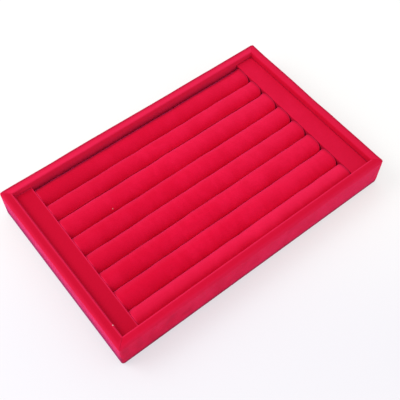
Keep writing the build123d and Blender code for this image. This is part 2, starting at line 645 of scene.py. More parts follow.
class Workpiece:
    """A mesh on the bench, shaped in edit mode with its parts picked by place."""

    def __init__(self, obj: Object, name: str) -> None:
        """Take up a mesh object and name it."""
        self.obj = obj
        obj.name = obj.data.name = name

    @classmethod
    def block(cls, name: str, low: Vector, high: Vector) -> "Workpiece":
        """Start from a block.

        Args:
            name: The piece's name.
            low: The block's lowest corner.
            high: Its highest corner.

        Returns:
            The piece.
        """
        bpy.ops.object.select_all(action="DESELECT")
        bpy.ops.mesh.primitive_cube_add(size=1, location=(low + high) / 2)
        bpy.context.object.scale = high - low
        bpy.ops.object.transform_apply(location=True, rotation=True, scale=True)
        return cls(bpy.context.object, name)

    @classmethod
    def hoop(cls, name: str, points: Array) -> "Workpiece":
        """Start from one closed ring of edges.

        Args:
            name: The piece's name.
            points: The places that the ring goes through.

        Returns:
            The piece.
        """
        bpy.ops.object.select_all(action="DESELECT")
        bpy.ops.mesh.primitive_circle_add(vertices=len(points), radius=1, fill_type="NOTHING")
        piece = cls(bpy.context.object, name)
        piece.set_points(points)
        return piece

    def copy(self, name: str) -> "Workpiece":
        """Copy the piece.

        Args:
            name: The copy's name.

        Returns:
            The copy, with its own mesh.
        """
        twin = self.obj.copy()
        twin.data = self.obj.data.copy()
        bpy.context.collection.objects.link(twin)
        return Workpiece(twin, name)

    def choose(self) -> None:
        """Make this the only chosen object."""
        bpy.ops.object.select_all(action="DESELECT")
        self.obj.select_set(True)
        bpy.context.view_layer.objects.active = self.obj

    @contextmanager
    def editing(self, pick: Pick, test: Test | None = None) -> Iterator[None]:
        """Hold the piece in edit mode, with all or some of its faces or edges picked.

        Args:
            pick: Whether faces or edges are picked.
            test: Whether to pick a face, by its centre and normal, or an edge, by its two
                ends. Without it all are picked.

        Yields:
            Nothing. The piece is back in object mode afterwards.
        """
        self.choose()
        bpy.ops.object.mode_set(mode="EDIT")
        bpy.ops.mesh.select_mode(type=pick.value)
        bpy.ops.mesh.select_all(action="DESELECT" if test else "SELECT")
        if test:
            self.pick(pick, test)
        try:
            yield
        finally:
            bpy.ops.object.mode_set(mode="OBJECT")

    def pick(self, pick: Pick, test: Test) -> None:
        """Pick the faces or edges that pass a test, in edit mode.

        Args:
            pick: Whether faces or edges are picked.
            test: The test, as for editing.
        """
        mesh = bmesh.from_edit_mesh(self.obj.data)
        if pick is Pick.FACES:
            picked = [face for face in mesh.faces if test(face.calc_center_median(), face.normal)]
        else:
            picked = [edge for edge in mesh.edges if test(edge.verts[0].co, edge.verts[1].co)]
        if not picked:
            raise ValueError(f"{self.obj.name}: nothing to pick")
        for part in picked:
            part.select_set(True)
        bmesh.update_edit_mesh(self.obj.data)

    def round_edges(self, radius: float, segments: int, test: Test) -> None:
        """Round the edges that pass the test."""
        with self.editing(Pick.EDGES, test):
            bpy.ops.mesh.bevel(offset=radius, segments=segments, profile=0.5, clamp_overlap=False)

    def cut_out(self, test: Test) -> None:
        """Cut away the faces that pass the test."""
        with self.editing(Pick.FACES, test):
            bpy.ops.mesh.delete(type="FACE")

    def cut_off(self, place: Vector, way: Vector, radius: float) -> None:
        """Cut off what lies beyond a plane, close the cut and round its edge.

        Args:
            place: A point in the plane.
            way: The way from the plane to what is cut off.
            radius: The radius of the new edge.
        """

        def on_cut(a: Vector, b: Vector) -> bool:
            """Whether an edge lies in the plane."""
            return max(abs((a - place).dot(way)), abs((b - place).dot(way))) < TINY

        with self.editing(Pick.FACES):
            bpy.ops.mesh.bisect(
                plane_co=place, plane_no=way, use_fill=True, clear_outer=True, threshold=TINY / 10
            )
        self.round_edges(radius, 3, on_cut)

    def slice_along(self, axis: int, places: Iterable[float]) -> None:
        """Cut the whole mesh across one axis, so that it can bend there.

        Args:
            axis: The axis: 0, 1 or 2.
            places: Where along it to cut.
        """
        way = Vector((0, 0, 0))
        way[axis] = 1
        with self.editing(Pick.FACES):
            for place in places:
                bpy.ops.mesh.select_all(action="SELECT")
                bpy.ops.mesh.bisect(plane_co=way * place, plane_no=way, threshold=TINY / 10)

    def extrude_rings(self, rings: list[Array]) -> None:
        """Extrude a hoop from each ring of places to the next, and face its top upwards.

        Args:
            rings: The places of each ring, the first of which is the hoop's own.
        """
        with self.editing(Pick.EDGES):
            for here, there in zip(rings, rings[1:]):
                bpy.ops.mesh.extrude_edges_move()
                mesh = bmesh.from_edit_mesh(self.obj.data)
                for vert in mesh.verts:
                    if vert.select:
                        nearest = np.abs(here - np.array(vert.co)).sum(axis=1).argmin()
                        vert.co = Vector(there[nearest])
                bmesh.update_edit_mesh(self.obj.data)
        with self.editing(Pick.FACES):
            bpy.ops.mesh.normals_make_consistent(inside=False)
        if max(self.obj.data.polygons, key=lambda face: face.center.z).normal.z < 0:
            with self.editing(Pick.FACES):
                bpy.ops.mesh.flip_normals()

    def modify(self, kind: str, **settings: object) -> None:
        """Add a modifier and apply it.

        Args:
            kind: The modifier's type.
            **settings: Its settings.
        """
        modifier = self.obj.modifiers.new(kind.lower(), kind)
        for name, value in settings.items():
            setattr(modifier, name, value)
        self.choose()
        bpy.ops.object.modifier_apply(modifier=modifier.name)

    def subdivide(self) -> None:
        """Divide and smooth the mesh once."""
        self.modify("SUBSURF", levels=1, render_levels=1)

    def thicken(self, thickness: float) -> None:
        """Give the skin a thickness, inwards from where it is."""
        self.modify("SOLIDIFY", thickness=thickness, offset=-1)

    def points(self) -> Array:
        """The places of all vertices, one row each."""
        return rows(self.obj.data.vertices, "co", 3, float)

    def normals(self) -> Array:
        """The normals of all vertices, one row each."""
        return rows(self.obj.data.vertex_normals, "vector", 3, float)

    def set_points(self, points: Array) -> None:
        """Move all vertices to these places."""
        self.obj.data.vertices.foreach_set("co", np.ascontiguousarray(points).ravel())
        self.obj.data.update()

    def hold(self, name: str, shares: Array) -> str:
        """Store how strongly a modifier acts on each vertex.

        Args:
            name: The name of the vertex group.
            shares: One number a vertex, from 0 to 1.

        Returns:
            The group's name.
        """
        group = self.obj.vertex_groups.new(name=name)
        rounded = np.round(shares, 2)
        for level in np.unique(rounded):
            group.add(np.nonzero(rounded == level)[0].tolist(), float(level), "REPLACE")
        return group.name

    def lay_unevenly(self, lump: float, depth: float, mid: float, shares: Array) -> None:
        """Raise and lower the surface in soft lumps.

        Args:
            lump: The size of a lump.
            depth: How far the highest lump stands over the lowest.
            mid: The share of the depth that goes inwards.
            shares: How much of it each vertex takes.
        """
        texture = bpy.data.textures.new(f"{self.obj.name}_lumps", "CLOUDS")
        texture.noise_scale = lump
        texture.noise_depth = 1
        self.modify(
            "DISPLACE",
            texture=texture,
            texture_coords="LOCAL",
            strength=depth,
            mid_level=mid,
            vertex_group=self.hold("lumps", shares),
        )

    def paint(self, name: str, values: Array) -> None:
        """Store one number a vertex as an attribute that the finish reads."""
        layer = self.obj.data.attributes.new(name, "FLOAT", "POINT")
        layer.data.foreach_set("value", values.astype(np.float32))

    def outer_edges(self, radius: float) -> Array:
        """How far each vertex stands on an outward edge.

        Args:
            radius: The radius of an edge that counts in full.

        Returns:
            One number a vertex, from 0 on the flat to 1.
        """
        points, normals = self.points(), self.normals()
        first, second = rows(self.obj.data.edges, "vertices", 2, np.int32).T
        way = points[second] - points[first]
        length = np.maximum(np.linalg.norm(way, axis=1), 1e-7)
        bend = ((normals[second] - normals[first]) * way).sum(axis=1) / length**2
        sharpest = np.zeros(len(points))
        for end in (first, second):
            np.maximum.at(sharpest, end, bend)
        return np.clip((sharpest * radius - 0.35) / 0.65, 0, 1)

    def finish(self, nodes: tuple[str, ...], slot: str, material: Material) -> None:
        """Smooth and dress the piece, and fix it in the frame.

        Args:
            nodes: The CAD nodes that it stands for.
            slot: Not used.
            material: Its material.
        """
        self.obj.vertex_groups.clear()
        self.choose()
        bpy.ops.object.shade_smooth_by_angle(angle=math.radians(50))
        dress(self.obj, material)
        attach(self.obj, "root")
        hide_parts(*nodes)
        log.info("%s: %d faces", self.obj.name, len(self.obj.data.polygons))


# Sub-assemblies


@dataclass(frozen=True)
class Ring:
    """One closed line round the tray: how far in from its outer faces, how high, how rounded."""

    inset: float
    height: float
    radius: float


@dataclass
class FrameCover:
    """The velvet over the frame: one piece, turned in on the floor and under the base.

    Sides gives a value on the left, on the right, in front and at the back.
    """

    thickness: float = 0.7 * MM
    edge_radius: float = 1.95 * MM
    inner_radius: float = 1.1 * MM
    corner_radius: float = 2.05 * MM
    well_corner: float = 0.35 * MM
    well_widening: float = 0.3
    mitre_corner: float = 0.2 * MM
    foot_radius: float = 0.5 * MM
    tuck_radius: float = 0.45 * MM
    turn_in: float = 9 * MM
    turn_in_rings: Three = (1.0, 0.65, 0.3)
    turn_under: float = 12 * MM
    arc_steps: int = 4
    corner_steps: int = 6
    step: float = 4 * MM
    wall_step: float = 3.2 * MM
    near_corner: tuple[float, ...] = (0.45 * MM, 1.1 * MM, 2.2 * MM, 4 * MM)
    fold_depth: float = 0.05 * MM
    fold_width: float = 0.45 * MM
    fold_reach: float = 8 * MM
    lap_height: float = 0.35 * MM
    lap_reach: float = 2.5 * MM
    unevenness: float = 0.6 * MM
    lump: float = 30 * MM
    glued: float = 0.85
    shoulder: float = 3.2 * MM
    shoulder_drop: float = 4 * MM
    # Painted highlights and wear, side by side: on the outer shoulders, the inner edges and the rim
    # tops; painted light on the back inner wall; and a painted highlight beside each mitre.
    shoulder_highlight: Sides = (0.45, 0.15, 0.6, 0.15)
    edge_wear_and_highlight: Sides = (0.8, 0.2, 0.8, 0.6)
    edge_mask_radius: float = 2.2 * MM
    top_highlight: Sides = (0.05, 0.42, 0.1, 0.58)
    top_highlight_height: Span = (20 * MM, 22 * MM)
    wall_painted_light: Sides = (0.0, 0.0, 0.0, 0.9)
    mitre_highlight: float = 0.4
    mitre_reach: float = 1.2 * MM
    # Pressed pile and painted shade on the tops and inner walls, side by side; painted light on the
    # left and front upright faces; painted shade on upright faces towards the floor.
    pressed_and_shaded: Sides = (0.7, 0.35, 0.5, 0.25)
    left_painted_light: float = 0.2
    front_painted_light: float = 0.7
    front_painted_light_gain: float = 0.8
    low_shade: float = 0.3
    low_shade_height: Span = (1 * MM, 14 * MM)
    patch: float = 8 * MM
    patchiness: float = 0.9
    # Painted shade: at the foot, over the outer shoulders of the back and right, and towards the
    # floor on the left.
    foot_dark: float = 0.75
    foot_height: Span = (1.6 * MM, 4.2 * MM)
    over_edge: Sides = (0.0, 0.3, 0.0, 0.42)
    over_edge_reach: Span = (1.5 * MM, 3.0 * MM)
    low_dark: Sides = (0.78, 0.0, 0.0, 0.0)
    low_dark_height: Span = (7 * MM, 14 * MM)
    cut: Span = (215.6 * MM, 298.8 * MM)
    cut_area: float = 0.054

    def __post_init__(self) -> None:
        """Take the cover's sizes from the frame."""
        self.low, self.high = node_box("frame_velvet")
        rail_low, rail_high = node_box("rail_left")
        self.rim = rail_high.x + (rail_low.x - self.low.x) - self.low.x
        self.floor = node_box("insert_card")[0].z

    def section(self) -> list[Ring]:
        """Lay out the cover's cross-section.

        Returns:
            Its rings, from its edge on the floor of the well to its edge underneath.
        """
        top, base, rim, floor = self.high.z, self.low.z, self.rim, self.floor
        tuck, edge, foot, inner = (
            self.tuck_radius,
            self.edge_radius,
            self.foot_radius,
            self.inner_radius,
        )
        quarter = [math.pi / 2 * n / self.arc_steps for n in range(self.arc_steps + 1)]
        short_quarter = [0, math.pi / 4, math.pi / 2]
        line = [(rim + self.turn_in * share, floor) for share in self.turn_in_rings]
        line += [(rim + 2 * tuck, floor)]
        line += [
            (rim + tuck * (1 - math.sin(a)), floor + tuck * (1 - math.cos(a)))
            for a in short_quarter
        ]
        line += [(rim, z) for z in even(floor + tuck, top - inner, self.wall_step)]
        line += [
            (rim - inner * (1 - math.cos(a)), top - inner * (1 - math.sin(a))) for a in quarter
        ]
        line += [(rim / 2, top)]
        line += [(edge * (1 - math.sin(a)), top - edge * (1 - math.cos(a))) for a in quarter]
        line += [(0.0, z) for z in reversed(even(base + foot, top - edge, self.wall_step))]
        line += [(foot * (1 - math.cos(a)), base + foot * (1 - math.sin(a))) for a in short_quarter]
        line += [(x, base) for x in (2 * foot, *even(2 * foot, self.turn_under, self.step))]
        line += [(self.turn_under, base)]
        return [Ring(inset, height, self.ring_corner(inset, height)) for inset, height in line]

    def ring_corner(self, inset: float, height: float) -> float:
        """Round a ring's corners outside the tray, and keep them tight in the well.

        Args:
            inset: How far in the ring is.
            height: How high it is.

        Returns:
            The radius of its corners.
        """
        if inset < self.rim / 2 or height < self.floor:
            return max(self.corner_radius - inset, self.mitre_corner)
        return self.well_corner + self.well_widening * max(self.rim - inset, 0)

    def outline(self, ring: Ring) -> Array:
        """Lay out one ring, counter-clockwise from the front of the right side.

        Args:
            ring: The ring.

        Returns:
            One row a point. Every ring has as many, in step with the others.
        """
        flat = []
        for turn in range(4):
            ends = turn % 2 == 0
            across = (self.high.x if ends else self.high.y) - ring.inset
            whole = self.high.y if ends else self.high.x
            run = whole - ring.inset - ring.radius
            reach = run - self.near_corner[-1]
            side = [-run, *(-run + d for d in self.near_corner)]
            side += [reach * m for m in even(-1, 1, self.step / whole)]
            side += [*(run - d for d in reversed(self.near_corner)), run]
            local = [(across, place) for place in side]
            for n in range(1, self.corner_steps):
                bend = math.pi / 2 * n / self.corner_steps
                back = ring.radius * (1 - math.cos(bend))
                local.append((across - back, run + ring.radius * math.sin(bend)))
            quarter = np.array([[0, -1], [1, 0]])
            flat.append(np.array(local) @ np.linalg.matrix_power(quarter, turn).T)
        flat = np.vstack(flat)
        return np.column_stack([flat, np.full(len(flat), ring.height)])

    def build(self, material: Material) -> Workpiece:
        """Args:
            material: The velvet.

        Returns:
            The finished cloth, a closed shell with its own thickness.
        """
        rings = [self.outline(ring) for ring in self.section()]
        cover = Workpiece.hoop("frame_cover", rings[0])
        cover.extrude_rings(rings)
        cover.subdivide()
        self.settle(cover)
        cover.thicken(self.thickness)
        self.paint_wear_light_and_shade(cover)
        cover.finish(("frame_velvet",), "velvet", material)
        return cover

    def insets(self, points: Array) -> tuple[Array, Array]:
        """How far in each point is from the ends of the tray, and from its long sides."""
        return self.high.x - np.abs(points[:, 0]), self.high.y - np.abs(points[:, 1])

    def to_mitre(self, points: Array) -> Array:
        """How far each point is from its corner's mitre, and above 0 on the short sides."""
        from_end, from_side = self.insets(points)
        return (from_side - from_end) / math.sqrt(2)

    def by_side(self, points: Array, values: Iterable[float | Array]) -> Array:
        """Give each point the value of its side of the frame.

        Args:
            points: The places.
            values: The values on the left, on the right, in front and at the back.

        Returns:
            The values, which change over softly at the mitres.
        """
        left, right, front, back = values
        on_end = ramp(self.to_mitre(points), -1 * MM, 1 * MM)
        end = np.where(points[:, 0] < 0, left, right)
        side = np.where(points[:, 1] < 0, front, back)
        return end * on_end + side * (1 - on_end)

    def settle(self, cover: Workpiece) -> None:
        """Let the cloth lie unevenly, and press in the fold at each corner.

        Args:
            cover: The cover, without its thickness.
        """
        points = cover.points()
        from_end, from_side = self.insets(points)
        inset = np.minimum(from_end, from_side)
        outer = 1 - ramp(inset, self.rim - 3 * MM, self.rim - 1 * MM)
        loose = outer * self.glued + (1 - self.glued)
        loose *= ramp(points[:, 2], self.low.z, self.low.z + 6 * MM)
        cover.lay_unevenly(self.lump, self.unevenness, 0.3, loose)
        points, normals = cover.points(), cover.normals()
        across = self.to_mitre(points)
        in_corner = np.maximum(from_end, from_side) < self.rim + self.fold_reach
        raised = 0.3 + 0.7 * ramp(points[:, 2], self.high.z - 4 * MM, self.high.z - 1 * MM)
        outside = 1 - ramp(inset, self.rim - 0.5 * MM, self.rim)
        fold = np.exp(-((across / self.fold_width) ** 2)) * self.fold_depth
        lap = np.where(across > 0, np.exp(-across / self.lap_reach), 0) * self.lap_height
        cover.set_points(points + normals * ((lap - fold) * in_corner * raised * outside)[:, None])

    def paint_wear_light_and_shade(self, cover: Workpiece) -> None:
        """Paint wear and painted highlights, the turn of the pile together with painted light and
        shade, and painted shade.

        Args:
            cover: The cover, with its thickness.
        """
        points = cover.points()
        sided = partial(self.by_side, points)
        inset = np.minimum(*self.insets(points))
        height, tall = points[:, 2] - self.low.z, self.high.z - self.low.z
        inside = ramp(inset, self.rim * 0.45, self.rim * 0.6)
        top = ramp(cover.normals()[:, 2], -0.1, 0.95)
        upright = 1 - np.maximum(top, inside)

        shoulder = 1 - ramp(inset, 0, self.shoulder)
        shoulder *= ramp(height, tall - self.shoulder_drop, tall)
        corner = np.exp(-((self.to_mitre(points) / self.mitre_reach) ** 2)) * (1 - inside)
        # Wear and painted highlights: inner edges, rim tops, outer shoulders and mitre ridges, with
        # painted light on the back inner wall.
        worn_and_lit = [
            cover.outer_edges(self.edge_mask_radius) * inside * sided(self.edge_wear_and_highlight),
            top * ramp(height, *self.top_highlight_height) * sided(self.top_highlight),
            shoulder * sided(self.shoulder_highlight),
            corner * self.mitre_highlight,
            inside * sided(self.wall_painted_light),
        ]
        cover.paint("wear_and_highlight", np.maximum.reduce(worn_and_lit))

        # Painted light on the front face, lighter towards the right.
        front = self.front_painted_light + self.front_painted_light_gain * points[:, 0] / self.high.x
        brushed = np.array([noise.noise(Vector(point) / self.patch) for point in points])
        # Pressed pile and painted shade on the tops and inner walls.
        lean = (upright - 1) * sided(self.pressed_and_shaded)
        # Painted light on the left and front upright faces.
        lean += upright * sided((self.left_painted_light, 0.0, front, 0.0))
        # Painted shade on upright faces towards the floor.
        lean -= upright * self.low_shade * (1 - ramp(height, *self.low_shade_height))
        lean += upright * brushed * self.patchiness
        cover.paint("turned", lean)

        # Painted shade at the foot, over the far outer shoulders and low on the left face.
        dark = [
            self.foot_dark * (1 - ramp(height, *self.foot_height)),
            (1 - ramp(inset, *self.over_edge_reach)) * sided(self.over_edge),
            upright * (1 - ramp(height, *self.low_dark_height)) * sided(self.low_dark),
        ]
        cover.paint("painted_shade", np.maximum.reduce(dark))


@dataclass
class RollRow:
    """The padded rolls, each a puffed velvet sleeve round a foam core."""

    count: int = 8
    puff: float = 1.0 * MM
    press: float = 0.7 * MM
    pressure: float = 45.0
    mass: float = 0.1
    sim_scale: float = 40.0
    frames: int = 20
    held_foot: float = 3 * MM
    flat: float = 0.1 * MM
    foot_radius: float = 5.4 * MM
    butt_radius: float = 0.4 * MM
    butt_gap: float = 0.05 * MM
    spare: float = 8 * MM
    end_radius: float = 0.35 * MM
    squareness: float = 2.6
    end_reach: float = 5 * MM
    end_taper: float = 1.3 * MM
    taper_reach: float = 8 * MM
    step: float = 2.6 * MM
    squeeze: float = 0.03 * MM
    headroom: float = 0.2 * MM
    thickness: float = 0.7 * MM
    cover: float = 0.75 * MM
    seam_gap: float = 3 * MM
    end_lip: float = 6 * MM
    unevenness: float = 0.7 * MM
    lump: float = 15 * MM
    turned: tuple[float, ...] = (-0.15, 0.0, 0.1, 0.05, 0.05, 0.1, 0.1, 0.05)
    # Darker towards the left bar and close to the right bar.
    left_end_darkening: float = 0.35
    left_end_darkening_to: float = 20 * MM
    right_end_darkening: float = 0.5
    right_end_darkening_reach: float = 3.5 * MM
    # Wear and painted highlights along each roll, lighter towards the right, with a painted
    # highlight on the back slopes.
    wear_and_highlight: tuple[float, ...] = (0.0, 0.1, 0.1, 0.0, 0.05, 0.0, 0.0, 0.35)
    right_lightening: float = 0.25
    right_lightening_from: Span = (-20 * MM, 80 * MM)
    back_highlight: float = 0.5
    edge_mask_radius: float = 1.5 * MM
    # Painted shade where the rolls meet the right bar, and in the crevice behind roll 1.
    end_dark: float = 0.35
    end_dark_reach: float = 1.6 * MM
    crevice_dark: float = 0.42

    def build(self, velvet: Material, foam: Material) -> list[Workpiece]:
        """Shape and dress all the rolls.

        Args:
            velvet: The sleeves' material.
            foam: The cores' material.

        Returns:
            The sleeves, from the back of the tray to its front.
        """
        rolls = [self.shape(number) for number in range(1, self.count + 1)]
        self.inflate(rolls)
        for number, roll in enumerate(rolls, start=1):
            self.trim(roll, number)
            self.settle(roll, number)
            self.fill(roll, number, foam)
            self.wrap(roll, number, velvet)
        return rolls

    def shape(self, number: int) -> Workpiece:
        """Shape one roll under size and over long, round on top and flat underneath.

        Args:
            number: The roll's number, from the back.

        Returns:
            The roll.
        """
        low, high = node_box(f"roll_sleeve_{number}")
        low.y += self.puff - self.press
        high.y -= self.puff - self.press
        high.z -= self.puff
        spare = Vector((self.spare, 0, 0))
        roll = Workpiece.block(f"roll_{number}", low - spare, high + spare)

        def lengthwise(a: Vector, b: Vector) -> bool:
            """Whether an edge runs the length of the roll."""
            return abs(a.x - b.x) > 10 * MM

        round_top = (high.y - low.y) / 2 - self.flat
        roll.round_edges(round_top, 10, lambda a, b: lengthwise(a, b) and a.z > high.z - TINY)
        roll.round_edges(self.foot_radius, 5, lambda a, b: lengthwise(a, b) and a.z < low.z + TINY)
        middle = (low.y + high.y) / 2
        roll.slice_along(1, (middle - self.seam_gap / 2, middle + self.seam_gap / 2))
        near, far = low.x + self.end_lip, high.x - self.end_lip
        lips = (low.x - spare.x / 2, near - self.step, near, far, far + self.step)
        beyond = high.x + spare.x / 2
        roll.slice_along(0, (*lips, beyond, *even(near, far, self.step)))
        return roll

    def inflate(self, rolls: list[Workpiece]) -> None:
        """Puff the rolls with air pressure, with the foot of each held.

        The cloth solver suits things of a metre or so, so the rolls are enlarged for it.

        Args:
            rolls: All the rolls.
        """
        before = [roll.points() for roll in rolls]
        for roll, points in zip(rolls, before):
            held = points[:, 2] < points[:, 2].min() + self.held_foot
            roll.set_points(points * self.sim_scale)
            modifier = roll.obj.modifiers.new("puff", "CLOTH")
            settings = modifier.settings
            settings.use_pressure = True
            settings.uniform_pressure_force = self.pressure
            settings.mass = self.mass
            settings.effector_weights.gravity = 0
            settings.vertex_group_mass = roll.hold("held", held.astype(float))
        scene = bpy.context.scene
        for number in range(1, self.frames + 1):
            scene.frame_set(number)
        for roll, points in zip(rolls, before):
            shown = roll.obj.evaluated_get(bpy.context.evaluated_depsgraph_get())
            moved = rows(shown.data.vertices, "co", 3, float) / self.sim_scale - points
            far = np.linalg.norm(moved, axis=1)
            log.info(
                "%s: puffed by %.2f to %.2f mm", roll.obj.name, np.median(far) / MM, far.max() / MM
            )
            cap = np.minimum(1, self.puff / np.maximum(far, 1e-9))
            roll.obj.modifiers.clear()
            roll.obj.vertex_groups.clear()
            roll.set_points(points + moved * cap[:, None])
        scene.frame_set(1)

    def trim(self, roll: Workpiece, number: int) -> None:
        """Cut a roll to fit between the bars.

        Args:
            roll: The roll.
            number: Its number.
        """
        low, high = node_box(f"roll_sleeve_{number}")
        middle = (low.y + high.y) / 2
        for side, radius in ((Side.LEFT, self.butt_radius), (Side.RIGHT, self.end_radius)):
            end = EndBar.inner_edge(side, middle) - side.value * self.butt_gap
            way = Vector((math.cos(EndBar.skew), -math.sin(EndBar.skew), 0)) * side.value
            roll.cut_off(Vector((end, middle, 0)), way, radius)

    def settle(self, roll: Workpiece, number: int) -> None:
        """Let a roll lie unevenly, square and taper its right end, and keep it in its place.

        Args:
            roll: The roll.
            number: Its number.
        """
        low, high = node_box(f"roll_sleeve_{number}")
        roll.subdivide()
        points = roll.points()
        free = ramp(points[:, 2], low.z + 2 * MM, low.z + 6 * MM)
        free *= ramp(points[:, 0], low.x, low.x + 4 * MM)
        free *= 1 - ramp(points[:, 0], high.x - 4 * MM, high.x)
        roll.lay_unevenly(self.lump, self.unevenness, 0.5, free)
        points = roll.points()

        def near_end(reach: float) -> Array:
            """How near each point is to the right end, from 0 at this reach to 1."""
            return np.clip((points[:, 0] - high.x) / reach + 1, 0, 1) ** 2

        across = np.clip((2 * points[:, 1] - low.y - high.y) / (high.y - low.y), -1, 1)
        squared = (1 - np.abs(across) ** self.squareness) ** (1 / self.squareness)
        lift = (squared - (1 - across**2) ** 0.5) * (high.y - low.y) / 2
        upper = ramp(points[:, 2], low.z + 3 * MM, low.z + 8 * MM)
        points[:, 2] += lift * near_end(self.end_reach) * upper
        shorter = self.end_taper * np.maximum(-across, 0) ** 3
        points[:, 0] -= shorter * near_end(self.taper_reach)
        points[:, 1] = np.clip(points[:, 1], low.y - self.squeeze, high.y + self.squeeze)
        points[:, 2] = np.clip(points[:, 2], low.z, high.z + self.headroom)
        roll.set_points(points)

    def fill(self, roll: Workpiece, number: int, foam: Material) -> None:
        """Make the foam core that a sleeve is wrapped round.

        Args:
            roll: The roll, before its cloth has a thickness.
            number: Its number.
            foam: The core's material.
        """
        core = roll.copy(f"foam_core_{number}")
        core.set_points(core.points() - core.normals() * self.cover)
        core.finish((f"roll_core_{number}",), "foam", foam)

    def wrap(self, roll: Workpiece, number: int, velvet: Material) -> None:
        """Open the seam under a sleeve, give its cloth a thickness, and dress it.

        Args:
            roll: The roll, which becomes its sleeve.
            number: Its number.
            velvet: The sleeve's material.
        """
        low, high = node_box(f"roll_sleeve_{number}")
        middle = (low.y + high.y) / 2
        roll.cut_out(
            lambda at, way: way.z < -0.9
            and abs(at.y - middle) < self.seam_gap / 2
            and low.x + self.end_lip < at.x < high.x - self.end_lip
        )
        roll.thicken(self.thickness)
        along, facing_back = roll.points()[:, 0], roll.normals()[:, 1]
        lean = self.turned[number - 1]
        # Darker towards the left bar and close to the right bar.
        lean = lean - self.left_end_darkening * (1 - ramp(along, low.x, self.left_end_darkening_to))
        lean -= self.right_end_darkening * ramp(along, high.x - self.right_end_darkening_reach, high.x)
        # Wear and painted highlights on the crown, lighter towards the right, and a painted
        # highlight on the back slope.
        worn_and_lit = self.wear_and_highlight[number - 1] + ramp(along, *self.right_lightening_from) * self.right_lightening
        worn_and_lit *= ramp(facing_back, -0.8, 0.1)
        worn_and_lit += ramp(facing_back, 0.1, 0.9) * self.back_highlight
        # Painted shade along the right end, against the bar.
        dark = ramp(along, high.x - self.end_dark_reach, high.x) * self.end_dark
        # Roll 1 loses its painted highlight and takes painted shade where it faces the back wall.
        if number == 1:
            worn_and_lit = np.minimum(worn_and_lit, 1 - ramp(facing_back, 0.1, 0.5))
            dark = np.maximum(dark, ramp(facing_back, 0.2, 0.8) * self.crevice_dark)
        roll.paint("turned", lean)
        roll.paint("painted_shade", dark)
        roll.paint("wear_and_highlight", np.maximum(roll.outer_edges(self.edge_mask_radius), worn_and_lit))
        roll.finish((f"roll_sleeve_{number}",), "velvet", velvet)


